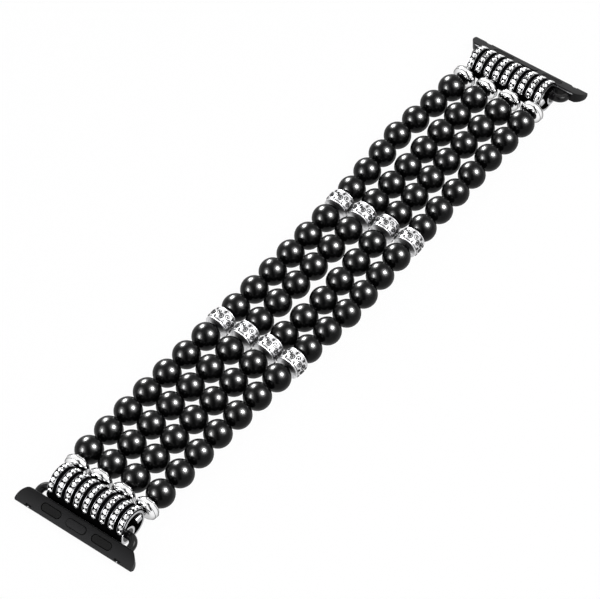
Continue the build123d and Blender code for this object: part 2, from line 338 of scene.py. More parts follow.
class Nodes:
    """A node tree that is filled from short calls."""

    def __init__(self, tree: bpy.types.NodeTree) -> None:
        """Keeps the tree."""
        self.tree = tree

    @classmethod
    def of(cls, owner: bpy.types.ID) -> Nodes:
        """The nodes of a material or a world, which are turned on."""
        owner.use_nodes = True
        return cls(owner.node_tree)

    def add(self, kind: str, inputs: dict | None = None, **settings: object) -> bpy.types.Node:
        """Adds a node.

        Args:
            kind: The node's type name.
            inputs: Socket name or number to a value, or to a socket that feeds it.
            **settings: Attributes of the node itself.

        Returns:
            The node.
        """
        node = self.tree.nodes.new(kind)
        for key, value in settings.items():
            setattr(node, key, value)
        return self.fill(node, inputs or {})

    def fill(self, node: bpy.types.Node, inputs: dict) -> bpy.types.Node:
        """Fills sockets of a node.

        Args:
            node: The node.
            inputs: Socket name or number to a value, or to a socket that feeds it.

        Returns:
            The same node.
        """
        for key, value in inputs.items():
            if isinstance(value, Socket):
                self.tree.links.new(value, node.inputs[key])
            else:
                node.inputs[key].default_value = value
        return node

    def math(self, operation: str, *values: object) -> Socket:
        """Works out one operation on values or sockets."""
        node = self.add("ShaderNodeMath", dict(enumerate(values)), operation=operation)
        return node.outputs["Value"]

    def noise(self, place: Socket, settings: dict) -> Socket:
        """Noise over a place, by its scale, detail and roughness."""
        return self.add("ShaderNodeTexNoise", {"Vector": place, **settings}).outputs["Fac"]

    def place(self) -> Socket:
        """The place on the object."""
        return self.add("ShaderNodeTexCoord").outputs["Object"]

    def axes(self) -> bpy.types.NodeOutputs:
        """The place on the object, with a socket for each axis."""
        return self.add("ShaderNodeSeparateXYZ", {"Vector": self.place()}).outputs

    def facing(self) -> Socket:
        """How far the surface turns away from the view."""
        return self.add("ShaderNodeLayerWeight").outputs["Facing"]

    def ray(self, *kinds: str) -> Socket:
        """Whether a ray is of one of some kinds.

        Args:
            *kinds: Names of the kinds, as in Glossy.

        Returns:
            A socket that is 1 for those rays and 0 for the others.
        """
        path = self.add("ShaderNodeLightPath")
        total = path.outputs[f"Is {kinds[0]} Ray"]
        for kind in kinds[1:]:
            total = self.math("MAXIMUM", total, path.outputs[f"Is {kind} Ray"])
        return total

    def blend(self, share: object, low: bpy.types.Node, high: bpy.types.Node) -> bpy.types.Node:
        """Mixes two shaders, from the low one at 0 to the high one at 1."""
        return self.add("ShaderNodeMixShader", {0: share, 1: low.outputs[0], 2: high.outputs[0]})

    def mix(self, factor: object, low: object, high: object) -> Socket:
        """Mixes two colours or sockets, from the low one at 0 to the high one at 1."""
        inputs = {"Factor": factor, "A": low, "B": high}
        return self.add("ShaderNodeMix", inputs, data_type="RGBA").outputs["Result"]

    def span(self, value: object, low: float, high: float, to: Pair = RISING) -> Socket:
        """Maps a value from one span to another, smoothly and clamped.

        Args:
            value: The socket that is mapped.
            low: Where the first span starts.
            high: Where it stops.
            to: The second span.

        Returns:
            The mapped value's socket.
        """
        node = self.add(
            "ShaderNodeMapRange",
            {"Value": value, "From Min": low, "From Max": high, "To Min": to[0], "To Max": to[1]},
            interpolation_type="SMOOTHSTEP",
        )
        return node.outputs["Result"]


def rgba(colour: Colour) -> tuple[float, float, float, float]:
    """A colour with full alpha."""
    return (*colour, 1.0)


def handling_group() -> bpy.types.NodeTree:
    """Shared wear of handled, polished surfaces: soft smudges and fine grain.

    Returns:
        A group with Scale, Roughness and Spread in, and Roughness, Height and Mask out.
    """
    tree = bpy.data.node_groups.new("handling", "ShaderNodeTree")
    for label in ("Scale", "Roughness", "Spread"):
        tree.interface.new_socket(label, in_out="INPUT", socket_type="NodeSocketFloat")
    for label in ("Roughness", "Height", "Mask"):
        tree.interface.new_socket(label, in_out="OUTPUT", socket_type="NodeSocketFloat")
    nodes = Nodes(tree)
    given = nodes.add("NodeGroupInput").outputs
    scaled = nodes.add(
        "ShaderNodeVectorMath", {0: nodes.place(), "Scale": given["Scale"]}, operation="SCALE"
    ).outputs["Vector"]
    mask = nodes.span(nodes.noise(scaled, SMUDGES), SMUDGE_FROM, SMUDGE_STOP)
    rough = nodes.math("MULTIPLY_ADD", mask, given["Spread"], given["Roughness"])
    height = nodes.noise(scaled, GRAIN)
    nodes.add("NodeGroupOutput", {"Roughness": rough, "Height": height, "Mask": mask})
    return tree


@dataclass(frozen=True)
class Finish:
    """A finish with the shared handling wear and an optional painted shade at the limb, made into
    a material once and kept.
    """

    name: str
    colour: Colour
    tint: Colour
    metallic: float = 0.0
    roughness: float = 0.1
    spread: float = 0.05
    grain: float = 0.0
    coat: float = 0.0
    coat_roughness: float = 0.05
    coat_ior: float = 1.5
    coat_rim: float = 1.0
    coat_rim_from: float = 0.55
    specular: float = 0.5
    detail: float = 1.0
    # Painted shade: below 1, the colour darkens to this share of itself towards the limb, in
    # place of dark surroundings seen in reflection.
    limb: float = 1.0
    limb_from: float = 0.5

    def material(self) -> bpy.types.Material:
        """The finish's material, built the first time it is asked for.

        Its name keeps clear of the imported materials, which are named as their slots.

        Returns:
            The material.
        """
        label = f"{self.name}_look"
        made = bpy.data.materials.get(label)
        if made:
            return made
        made = bpy.data.materials.new(label)
        nodes = Nodes.of(made)
        wear = nodes.add(
            "ShaderNodeGroup",
            {"Scale": self.detail, "Roughness": self.roughness, "Spread": self.spread},
            node_tree=bpy.data.node_groups.get("handling") or handling_group(),
        ).outputs
        colour = nodes.mix(wear["Mask"], rgba(self.colour), rgba(self.tint))
        # Painted shade: the colour darkens towards the limb, where the surface turns away from
        # the view.
        if self.limb < 1.0:
            edge = nodes.span(nodes.facing(), self.limb_from, 1.0)
            colour = nodes.mix(edge, colour, rgba(tuple(self.limb * c for c in self.colour)))
        inputs = {
            "Base Color": colour,
            "Roughness": wear["Roughness"],
            "Metallic": self.metallic,
            "Coat Weight": self.coat,
            "Coat Roughness": self.coat_roughness,
            "Coat IOR": self.coat_ior,
            "Specular IOR Level": self.specular,
        }
        if self.coat_rim < 1.0:
            kept = (self.coat, self.coat * self.coat_rim)
            inputs["Coat Weight"] = nodes.span(nodes.facing(), self.coat_rim_from, 1.0, kept)
        if self.grain > 0:
            bump = nodes.add("ShaderNodeBump", {"Height": wear["Height"], "Distance": self.grain})
            inputs["Normal"] = bump.outputs["Normal"]
        nodes.fill(nodes.tree.nodes["Principled BSDF"], inputs | self.own(nodes, colour))
        return made

    def own(self, nodes: Nodes, colour: Socket) -> dict:
        """What one finish alone feeds to its shader; the plain finish adds nothing."""
        return {}

    def on(self, *pieces: Obj) -> None:
        """Puts the material on pieces, in place of what they had.

        Args:
            *pieces: The pieces.
        """
        for piece in pieces:
            piece.data.materials.clear()
            piece.data.materials.append(self.material())


@dataclass(frozen=True)
class BareEdges(Finish):
    """Bright metal that is left bare in places, with black enamel over the rest."""

    enamel: Colour = (0.0015, 0.0015, 0.0016)
    bare_from: float = 0.0
    blur: float = 0.01 * MM

    def distance(self, nodes: Nodes) -> Socket:
        """How far out a place lies across the band, which tells bare metal from enamel."""
        return nodes.math("ABSOLUTE", nodes.axes()["Y"])

    def own(self, nodes: Nodes, colour: Socket) -> dict:
        """Leaves the metal bare past a distance and enamels the rest.

        Args:
            nodes: The material's tree.
            colour: The metal's colour.

        Returns:
            What feeds the shader, by socket name.
        """
        low = self.bare_from - self.blur
        bare = nodes.span(self.distance(nodes), low, self.bare_from + self.blur)
        return {"Base Color": nodes.mix(bare, rgba(self.enamel), colour), "Metallic": bare}


@dataclass(frozen=True)
class BareLips(BareEdges):
    """Bare metal only on the lips along each crystal row, which stand out furthest."""

    middle_u: float = 73.23 * MM
    middle_z: float = 3.55 * MM

    def distance(self, nodes: Nodes) -> Socket:
        """Distance from the middle of the shell's round, the same for both ends.

        Args:
            nodes: The material's tree.

        Returns:
            The distance's socket.
        """
        axes = nodes.axes()
        away = nodes.math("ABSOLUTE", axes["X"])
        flat = nodes.add("ShaderNodeCombineXYZ", {"X": away, "Z": axes["Z"]}).outputs["Vector"]
        middle = (self.middle_u, 0.0, self.middle_z)
        return nodes.add(
            "ShaderNodeVectorMath", {0: flat, 1: middle}, operation="DISTANCE"
        ).outputs["Value"]


@dataclass(frozen=True)
class FoiledStone(Finish):
    """A stone on foil, white but for small dark flecks of painted shade that stand for facets
    turned away.
    """

    fleck: Colour = (0.05, 0.05, 0.05)
    fleck_scale: float = 2500.0
    fleck_from: float = 0.65
    fleck_blur: float = 0.04

    def own(self, nodes: Nodes, colour: Socket) -> dict:
        """Adds the flecks of painted shade.

        Args:
            nodes: The material's tree.
            colour: The stone's colour.

        Returns:
            What feeds the shader, by socket name.
        """
        # Painted shade: random dark flecks stand for facets turned away from the light.
        noise = nodes.noise(nodes.place(), {"Scale": self.fleck_scale, "Detail": 0.0})
        dark = nodes.span(noise, self.fleck_from, self.fleck_from + self.fleck_blur)
        return {"Base Color": nodes.mix(dark, colour, rgba(self.fleck))}


@dataclass(frozen=True)
class WornSatin(Finish):
    """The adapter's satin black with painted light: glossy on the arms, a painted highlight along
    the lug's top edge and a painted reflection that pales the black towards the tip.
    """

    arms_stop: float = 77.6 * MM
    arm_coat: float = 0.3
    edge_from: float = 77.7 * MM
    edge_stop: float = 77.92 * MM
    edge_height: float = 2.85 * MM
    # Painted highlight along the lug's top edge, in place of light caught by its rounded crest.
    edge_colour: Colour = (0.2, 0.2, 0.205)
    tip: float = 81.4 * MM
    # Painted reflection of the bright floor, which pales the black towards the tip.
    tip_colour: Colour = (0.017, 0.017, 0.018)
    blur: float = 0.05 * MM

    def own(self, nodes: Nodes, colour: Socket) -> dict:
        """Lays the coat on the arms, paints a reflection that pales the black towards the tip and
        paints a metallic highlight along the edge.

        Args:
            nodes: The material's tree.
            colour: The black's colour.

        Returns:
            What feeds the shader, by socket name.
        """
        axes = nodes.axes()
        away = nodes.math("ABSOLUTE", axes["X"])
        coat = nodes.span(away, self.arms_stop - self.blur, self.arms_stop, (self.arm_coat, 0.0))
        # The edge mask marks the painted highlight along the lug's top edge.
        inside = nodes.span(away, self.edge_from - self.blur, self.edge_from)
        outside = nodes.span(away, self.edge_stop, self.edge_stop + self.blur, FALLING)
        high = nodes.span(axes["Z"], self.edge_height - self.blur, self.edge_height)
        edge = nodes.math("MULTIPLY", nodes.math("MULTIPLY", inside, outside), high)
        # Painted reflection: the black pales towards the tip.
        painted_reflection = nodes.span(away, self.edge_stop, self.tip)
        black = nodes.mix(painted_reflection, colour, rgba(self.tip_colour))
        with_painted_light = nodes.mix(edge, black, rgba(self.edge_colour))
        return {"Coat Weight": coat, "Base Color": with_painted_light, "Metallic": edge}


BEAD_STONE = Finish(
    "polished_black_stone",
    (0.001, 0.001, 0.0011),
    (0.0018, 0.0018, 0.002),
    roughness=0.42,
    coat=0.7,
    coat_roughness=0.19,
    coat_ior=1.25,
    coat_rim=0.06,
    specular=0.0,
)
# Bright chrome with painted shade that darkens its limb almost to black.
BRIGHT_CHROME = Finish(
    "bright_chrome",
    (0.97, 0.97, 0.97),
    (0.86, 0.86, 0.87),
    metallic=1.0,
    roughness=0.05,
    spread=0.06,
    limb=0.03,
    limb_from=0.2,
)
ENAMELLED_SHELL = BareEdges(
    "enamelled_shell",
    (0.5, 0.5, 0.51),
    (0.4, 0.4, 0.41),
    roughness=0.12,
    spread=0.1,
    specular=0.0,
    bare_from=9.9 * MM,
)
CRYSTAL_SEATS = BareLips(
    "crystal_seats",
    (0.32, 0.32, 0.33),
    (0.2, 0.2, 0.21),
    roughness=0.14,
    spread=0.1,
    specular=0.0,
    bare_from=3.71 * MM,
)
# Engraved silver with painted shade that darkens its limb a little.
ENGRAVED_SILVER = Finish(
    "engraved_silver",
    (0.74, 0.74, 0.75),
    (0.52, 0.52, 0.53),
    metallic=1.0,
    roughness=0.3,
    spread=0.12,
    detail=8.0,
    limb=0.6,
    limb_from=0.6,
)
PRONG_METAL = Finish(
    "prong_metal",
    (0.4, 0.4, 0.41),
    (0.3, 0.3, 0.31),
    metallic=1.0,
    roughness=0.15,
    spread=0.1,
)
# Blackened silver: real oxide in the spacers' engraving and grooves, and a painted reflection on
# the rondelles' dark lines.
OXIDE_AND_PAINTED_CREASE = Finish(
    "oxidised_silver",
    (0.03, 0.03, 0.031),
    (0.1, 0.1, 0.102),
    metallic=1.0,
    roughness=0.4,
    spread=0.15,
    detail=4.0,
)
CRYSTAL = FoiledStone(
    "clear_crystal",
    (1.0, 1.0, 1.0),
    (0.86, 0.87, 0.88),
    metallic=1.0,
    roughness=0.03,
    detail=13.0,
)
ENAMEL = Finish(
    "black_enamel",
    (0.0015, 0.0015, 0.0016),
    (0.003, 0.003, 0.0032),
    roughness=0.16,
    spread=0.08,
    specular=0.0,
)
# Satin black with painted light: a painted highlight along the lug's top edge and a painted
# reflection towards the tip.
SATIN_BLACK = WornSatin(
    "satin_black",
    (0.003, 0.003, 0.0033),
    (0.005, 0.005, 0.0055),
    roughness=0.4,
    spread=0.08,
    grain=0.004 * MM,
    coat_roughness=0.15,
    specular=0.08,
)
GLOSSY_BLACK = Finish(
    "glossy_black",
    (0.004, 0.004, 0.0045),
    (0.007, 0.007, 0.0075),
    roughness=0.16,
    spread=0.08,
    specular=0.35,
)
PAD_RUBBER = Finish(
    "black_pad",
    (0.006, 0.006, 0.006),
    (0.009, 0.009, 0.009),
    roughness=0.5,
    spread=0.1,
    grain=0.006 * MM,
    specular=0.06,
)
CORD_RUBBER = Finish(
    "elastic_cord",
    (0.012, 0.012, 0.012),
    (0.022, 0.022, 0.022),
    roughness=0.6,
    spread=0.15,
    grain=0.01 * MM,
)
PLAIN_STEEL = Finish(
    "plain_steel",
    (0.5, 0.5, 0.51),
    (0.42, 0.42, 0.43),
    metallic=1.0,
    roughness=0.28,
    spread=0.12,
)


@dataclass(kw_only=True)
class Assembly:
    """A sub-assembly, which keeps the pieces that it has made."""

    made: list[Obj] = field(default_factory=list)

    def build(self) -> None:
        """Builds the pieces, each sub-assembly in its own way."""

    def keep(self, piece: Obj, finish: Finish, body: str, slot: str, *nodes: str) -> None:
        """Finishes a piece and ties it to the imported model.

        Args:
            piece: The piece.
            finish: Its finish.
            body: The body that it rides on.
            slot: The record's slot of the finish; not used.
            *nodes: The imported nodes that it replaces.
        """
        finish.on(piece)
        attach(piece, body)
        if nodes:
            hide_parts(*nodes)
        self.made.append(piece)


# The frame's rows and strands


def solid_boxes(obj: Obj) -> list[tuple[Vector, Vector]]:
    """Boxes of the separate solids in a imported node, from +Y to -Y.

    Args:
        obj: The node's object, which is only read.

    Returns:
        Lowest and highest corner of each solid.
    """
    mesh = bmesh.new()
    mesh.from_mesh(obj.data)
    bmesh.ops.remove_doubles(mesh, verts=mesh.verts, dist=WELD)
    seen: set = set()
    boxes = []
    for first in mesh.verts:
        if first in seen:
            continue
        stack = [first]
        seen.add(first)
        members = []
        while stack:
            vert = stack.pop()
            members.append(vert.co.copy())
            for edge in vert.link_edges:
                other = edge.other_vert(vert)
                if other not in seen:
                    seen.add(other)
                    stack.append(other)
        low = Vector([min(axis) for axis in zip(*members)])
        high = Vector([max(axis) for axis in zip(*members)])
        boxes.append((low, high))
    mesh.free()
    return sorted(boxes, key=lambda box: -(box[0].y + box[1].y))


@dataclass
class Row:
    """One row of four strung pieces: its node, body and the place of each piece."""

    node: str
    body: str
    half: float
    centres: list[Vector]
    headings: list[float] = field(default_factory=list)

    def places(self) -> list[Matrix]:
        """Where each piece of the row stands, turned to its strand."""
        pairs = zip(self.centres, self.headings)
        return [Matrix.Translation(c) @ Matrix.Rotation(h, 4, "Z") for c, h in pairs]


def strung_rows(frame: dict) -> list[Row]:
    """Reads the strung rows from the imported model, from the near end to the far one.


    Returns:
        The rows with their pieces' places and headings.
    """
    rows = []
    for body, nodes in frame["record"]["behaviour"]["bodies"].items():
        if not body.endswith("_row") and not body.startswith("bead_row"):
            continue
        boxes = solid_boxes(frame["nodes"][nodes[0]])
        half = min((high.x - low.x) / 2 for low, high in boxes)
        rows.append(Row(nodes[0], body, half, [(low + high) / 2 for low, high in boxes]))
    rows.sort(key=lambda row: row.centres[0].x)
    for index, row in enumerate(rows):
        before = rows[max(index - 1, 0)]
        after = rows[min(index + 1, len(rows) - 1)]
        for strand in range(STRANDS):
            way = after.centres[strand] - before.centres[strand]
            row.headings.append(atan2(way.y, way.x))
    return rows


# Strung pieces


@dataclass
class Bead:
    """A drilled round bead."""

    diameter: float = 6.2 * MM
    bore: float = 1.15 * MM
    mouth_edge: float = 0.05 * MM
    arc_steps: int = 26
    turn_steps: int = 52

    def build(self) -> Obj:
        """Turns the master bead with its bore along X.

        Returns:
            The master bead.
        """
        radius = self.diameter / 2
        hole = self.bore / 2
        lip = hole + self.mouth_edge
        angle = atan2(lip, sqrt(radius**2 - lip**2))
        outline = arc(self.arc_steps, radius, (pi - angle, angle), (0.0, 0.0))
        outline.append((outline[-1][0] - self.mouth_edge, hole))
        outline.append((outline[0][0] + self.mouth_edge, hole))
        return turned("bead_master", outline, self.turn_steps)


@dataclass
class Rondelle:
    """A bright ring with a round rim and flat faces."""

    diameter: float = 5.6 * MM
    length: float = 2.6 * MM
    bore: float = 1.3 * MM
    arc_steps: int = 16
    turn_steps: int = 56
    # The dark lines round the rim are a painted reflection of the dark band between the lamps.
    line_places: tuple[float, ...] = (-0.62 * MM, 0.3 * MM)
    line_radius: float = 0.06 * MM
    line_sides: int = 6

    @property
    def rim(self) -> float:
        """Radius of the round rim's section."""
        return self.length / 2

    @property
    def seat(self) -> float:
        """Distance from the axis to the middle of the rim's section."""
        return self.diameter / 2 - self.rim

    def build(self) -> Obj:
        """Turns the master rondelle with its bore along X.

        Returns:
            The master rondelle.
        """
        outline = arc(self.arc_steps, self.rim, (pi, 0.0), (0.0, self.seat))
        outline += [(self.rim, self.bore / 2), (-self.rim, self.bore / 2)]
        return turned("rondelle_master", outline, self.turn_steps)

    def lines(self) -> Obj:
        """Turns the dark lines that run round the rim, half sunk into it, as a painted reflection
        of the dark band between the lamps.

        Returns:
            The master lines.
        """
        made = []
        for x in self.line_places:
            middle = (x, self.seat + sqrt(self.rim**2 - x**2))
            outline = arc(self.line_sides, self.line_radius, (0.0, tau), middle)[:-1]
            made.append(turned("rondelle_line", outline, self.turn_steps))
        return joined(made, "rondelle_lines")


@dataclass
class BarrelSpacer:
    """A barrel with bright rims and a bright field that blackened scroll lines run over."""

    diameter: float = 5.9 * MM
    length: float = 3.63 * MM
    bore: float = 1.3 * MM
    rim_width: float = 0.36 * MM
    rim_drop: float = 0.14 * MM
    rim_edge: float = 0.08 * MM
    groove_width: float = 0.14 * MM
    groove_depth: float = 0.22 * MM
    field_wall: float = 0.3 * MM
    ground_drop: float = 0.05 * MM
    line_radius: float = 0.105 * MM
    line_sink: float = 0.05 * MM
    line_sides: int = 1
    curl_radius: float = 0.66 * MM
    curl_start: float = 0.1 * MM
    curl_turns: float = 1.5
    curl_steps: int = 26
    curl_lean: float = 0.9
    scrolls: int = 8
    corner: Pair = (0.95 * MM, -0.62 * MM)
    corner_radius: float = 0.3 * MM
    corner_start: float = 0.06 * MM
    corner_turns: float = 1.1
    dot_radius: float = 0.13 * MM
    dot_detail: int = 2
    turn_steps: int = 64
    crown_steps: int = 8

    def ground_radius(self, x: float) -> float:
        """Radius of the crowned field at a distance from the barrel's middle."""
        share = x / (self.length / 2)
        return self.diameter / 2 - self.ground_drop - self.rim_drop * share**2

    def core(self) -> Obj:
        """Turns the dark core that shows in the grooves beside the rims.

        Returns:
            The core.
        """
        half = self.length / 2 - self.rim_width
        outer = self.diameter / 2 - self.groove_depth
        outline = [(-half, outer), (half, outer), (half, self.bore / 2), (-half, self.bore / 2)]
        return turned("core_master", outline, self.turn_steps)

    def field(self) -> Obj:
        """Turns the crowned field between the grooves.

        Returns:
            The field.
        """
        half = self.length / 2 - self.rim_width - self.groove_width
        count = self.crown_steps
        steps = [half * (2 * n / count - 1) for n in range(count + 1)]
        outline = [(x, self.ground_radius(x)) for x in steps]
        outline += [(x, self.ground_radius(x) - self.field_wall) for x in reversed(steps)]
        return turned("field_master", outline, self.turn_steps)

    def rim(self, side: int) -> Obj:
        """Turns one bright rim.

        Args:
            side: -1 or 1, the end of the barrel that it closes.

        Returns:
            The rim.
        """
        outer = self.diameter / 2 - self.rim_drop
        end = side * self.length / 2
        inside = side * (self.length / 2 - self.rim_width)
        edge = side * self.rim_edge
        outline = [
            (inside, self.bore / 2),
            (inside, outer - self.rim_edge),
            (inside + edge, outer),
            (end - edge, outer),
            (end, outer - self.rim_edge),
            (end, self.bore / 2),
        ]
        return turned("rim_master", outline, self.turn_steps)

    def curl(self) -> Flat:
        """One flat S scroll that leans across the field.

        Returns:
            Points as (along the barrel, round it), the middle of the S at zero.
        """
        radii = (self.curl_start, self.curl_radius)
        points = spiral(self.curl_steps, radii, (-tau * self.curl_turns, 0.0))
        half = [(x - self.curl_radius, y) for x, y in points]
        flat = half + [(-x, -y) for x, y in reversed(half[:-1])]
        lean = (cos(self.curl_lean), sin(self.curl_lean))
        return [(x * lean[0] - y * lean[1], x * lean[1] + y * lean[0]) for x, y in flat]

    def small_curl(self, side: int) -> Flat:
        """One small curl in a corner that the S scrolls leave free.

        Args:
            side: -1 or 1, which of the two corners.

        Returns:
            Points as (along the barrel, round it).
        """
        radii = (self.corner_start, self.corner_radius)
        points = spiral(self.curl_steps, radii, (0.0, tau * self.corner_turns))
        return [(side * (self.corner[0] + x), side * (self.corner[1] + y)) for x, y in points]

    def bent(self, flat: Flat) -> list[Vector]:
        """Bends a flat line round the field, half sunk into it.

        Args:
            flat: Points as (along the barrel, round it).

        Returns:
            The points in space.
        """
        line = []
        for x, along in flat:
            radius = self.ground_radius(x) + self.line_radius - self.line_sink
            angle = along / radius
            line.append(Vector((x, radius * sin(angle), radius * cos(angle))))
        return line

    def scroll(self) -> Obj:
        """Lays one S scroll with a dot in each curl, and its two small curls.

        Returns:
            The master scroll.
        """
        lines = [self.bent(flat) for flat in (self.curl(), *map(self.small_curl, SIDES))]
        parts = [wire("scroll_master", lines, self.line_radius, self.line_sides)]
        lean = Vector((cos(self.curl_lean), sin(self.curl_lean))) * self.curl_radius
        for side in SIDES:
            spot = self.bent([(side * lean.x, side * lean.y)])[0]
            parts.append(ball("dot", self.dot_radius, self.dot_detail, spot))
        return joined(parts, "scroll_master")

    def dark_parts(self) -> Obj:
        """Joins the core and the ring of scroll lines.

        Returns:
            The master of a spacer's dark parts.
        """
        scroll = self.scroll()
        turns = [Matrix.Rotation(tau * n / self.scrolls, 4, "X") for n in range(self.scrolls)]
        ring = copies(scroll, "scroll_ring", turns)
        discard(scroll)
        return joined([ring, self.core()], "spacer_dark_master")

    def bright_parts(self) -> Obj:
        """The field and both rims, as one master."""
        return joined([self.field(), *map(self.rim, SIDES)], "spacer_bright_master")


@dataclass
class StrungRows(Assembly):
    """All rows that the cords carry, with the cord between them."""

    rows: list[Row]
    cord_diameter: float = 0.7 * MM
    cord_sides: int = 3
    past_face_share: float = 0.25

    def build(self) -> None:
        """Builds each row's pieces on its body, then the cord that runs through it."""
        bead = Bead().build()
        rondelle = Rondelle().build()
        lines = Rondelle().lines()
        spacer = BarrelSpacer()
        dark = spacer.dark_parts()
        bright = spacer.bright_parts()
        for row in self.rows:
            if row.node.startswith("bead"):
                self.dress(row, bead, "beads", BEAD_STONE, "black_bead", row.node)
            elif "rondelle" in row.node:
                self.dress(row, rondelle, "rings", BRIGHT_CHROME, "bright_chrome", row.node)
                # The rondelles' dark lines are a painted reflection; on the spacers the same dark
                # finish is blackening in the engraving.
                self.dress(row, lines, "lines", OXIDE_AND_PAINTED_CREASE, "bright_chrome")
            else:
                self.dress(row, bright, "fields", ENGRAVED_SILVER, "engraved_silver", row.node)
                self.dress(row, dark, "scrolls", OXIDE_AND_PAINTED_CREASE, "engraved_silver")
        discard(bead, rondelle, lines, dark, bright)
        self.cords()

    def dress(
        self, row: Row, master: Obj, part: str, finish: Finish, slot: str, *nodes: str
    ) -> None:
        """Copies a master to each strand of a row.

        Args:
            row: The row.
            master: What is copied.
            part: Last word of the piece's name.
            finish: Its finish.
            slot: The record's slot of that finish.
            *nodes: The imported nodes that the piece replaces.
        """
        piece = copies(master, f"{row.node}_{part}", row.places())
        self.keep(piece, finish, row.body, slot, *nodes)

    def cords(self) -> None:
        """Lays the cords as one short length in each row, so that they bend at each gap."""
        whole = [f"elastic_cord_{n + 1}" for n in range(STRANDS)]
        for index, row in enumerate(self.rows):
            lines = []
            for strand in range(STRANDS):
                tips = [self.tip(index, strand, step) for step in SIDES]
                lines.append([tips[0], row.centres[strand], tips[1]])
            piece = wire(f"{row.node}_cords", lines, self.cord_diameter / 2, self.cord_sides)
            nodes = whole if row.body == CORD_BODY else []
            self.keep(piece, CORD_RUBBER, row.body, "elastic_cord", *nodes)

    def tip(self, index: int, strand: int, step: int) -> Vector:
        """Where a row's length of cord ends: half way over the gap, or just past the last face.

        Args:
            index: The row's number.
            strand: The strand's number.
            step: -1 for the end nearer the near end, 1 for the other.

        Returns:
            The point.
        """
        row = self.rows[index]
        if 0 <= index + step < len(self.rows):
            other = self.rows[index + step]
            share = row.half / (row.half + other.half)
            return row.centres[strand].lerp(other.centres[strand], share)
        heading = row.headings[strand]
        reach = step * (row.half + self.cord_diameter * self.past_face_share)
        return row.centres[strand] + Vector((reach * cos(heading), reach * sin(heading), 0.0))


# Connectors


@dataclass
class Crystal:
    """A cut crystal with two rings of crown facets and a pointed back."""

    diameter: float = 1.16 * MM
    table: float = 0.6 * MM
    crown: float = 0.2 * MM
    lower_share: float = 0.6
    girdle: float = 0.06 * MM
    back: float = 0.2 * MM
    point: float = 0.3 * MM
    sides: int = 8
    pick_reach: float = 0.01 * MM
    ring_margin_share: float = 0.1

    def build(self) -> Obj:
        """Cuts the crystal with its girdle's foot on the XY plane, table up.

        Returns:
            The master crystal.
        """
        obj = added(
            bpy.ops.mesh.primitive_cylinder_add,
            "crystal_master",
            vertices=self.sides,
            radius=self.diameter / 2,
            depth=self.girdle,
            location=(0, 0, self.girdle / 2),
        )
        bpy.ops.object.transform_apply(location=True, rotation=True, scale=True)
        middle = (self.diameter + self.table) / 2
        lower = self.lower_share * self.crown
        turn = pi / self.sides
        self.step(obj, self.girdle, lower, middle / self.diameter, turn)
        self.step(obj, self.girdle + lower, self.crown - lower, self.table / middle, turn)
        self.step(obj, 0.0, -self.back, self.point / self.diameter, 0.0)
        return settle(obj, faceted=True)

    def step(self, obj: Obj, level: float, rise: float, scale: float, turn: float) -> None:
        """Extrudes the flat face at one level and draws it in, with a turn that makes facets.

        Args:
            obj: The crystal.
            level: Height of the face.
            rise: How far it moves.
            scale: How much it shrinks.
            turn: How far it turns, in radians.
        """
        reach = self.pick_reach
        pick_faces(obj, lambda co: abs(co.z - level) < reach and hypot(co.x, co.y) < reach)
        bpy.ops.mesh.extrude_region_move(TRANSFORM_OT_translate={"value": (0, 0, rise)})
        bpy.ops.transform.resize(value=(scale, scale, 1.0), center_override=(0, 0, level + rise))
        if turn:
            bpy.ops.transform.rotate(value=turn, orient_axis="Z", center_override=(0, 0, 0))
        low, high = sorted((level, level + rise))
        margin = abs(rise) * self.ring_margin_share
        pick_faces(obj, lambda co: low + margin < co.z < high - margin)
        bpy.ops.mesh.quads_convert_to_tris()
        bpy.ops.object.mode_set(mode="OBJECT")


@dataclass
class EndPart(Assembly):
    """A sub-assembly of one end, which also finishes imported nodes."""

    end: End
    nodes: dict[str, Obj]

    def label(self, part: str) -> str:
        """The name of a part of this end."""
        return f"{self.end.label}_{part}"

    def node(self, part: str) -> Obj:
        """One of the end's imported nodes."""
        return self.nodes[self.label(part)]

    def side(self, part: str, outer: bool) -> float:
        """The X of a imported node's outer side, or of its inner one."""
        low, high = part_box(self.label(part))
        return high.x if outer == (self.end is End.FAR) else low.x


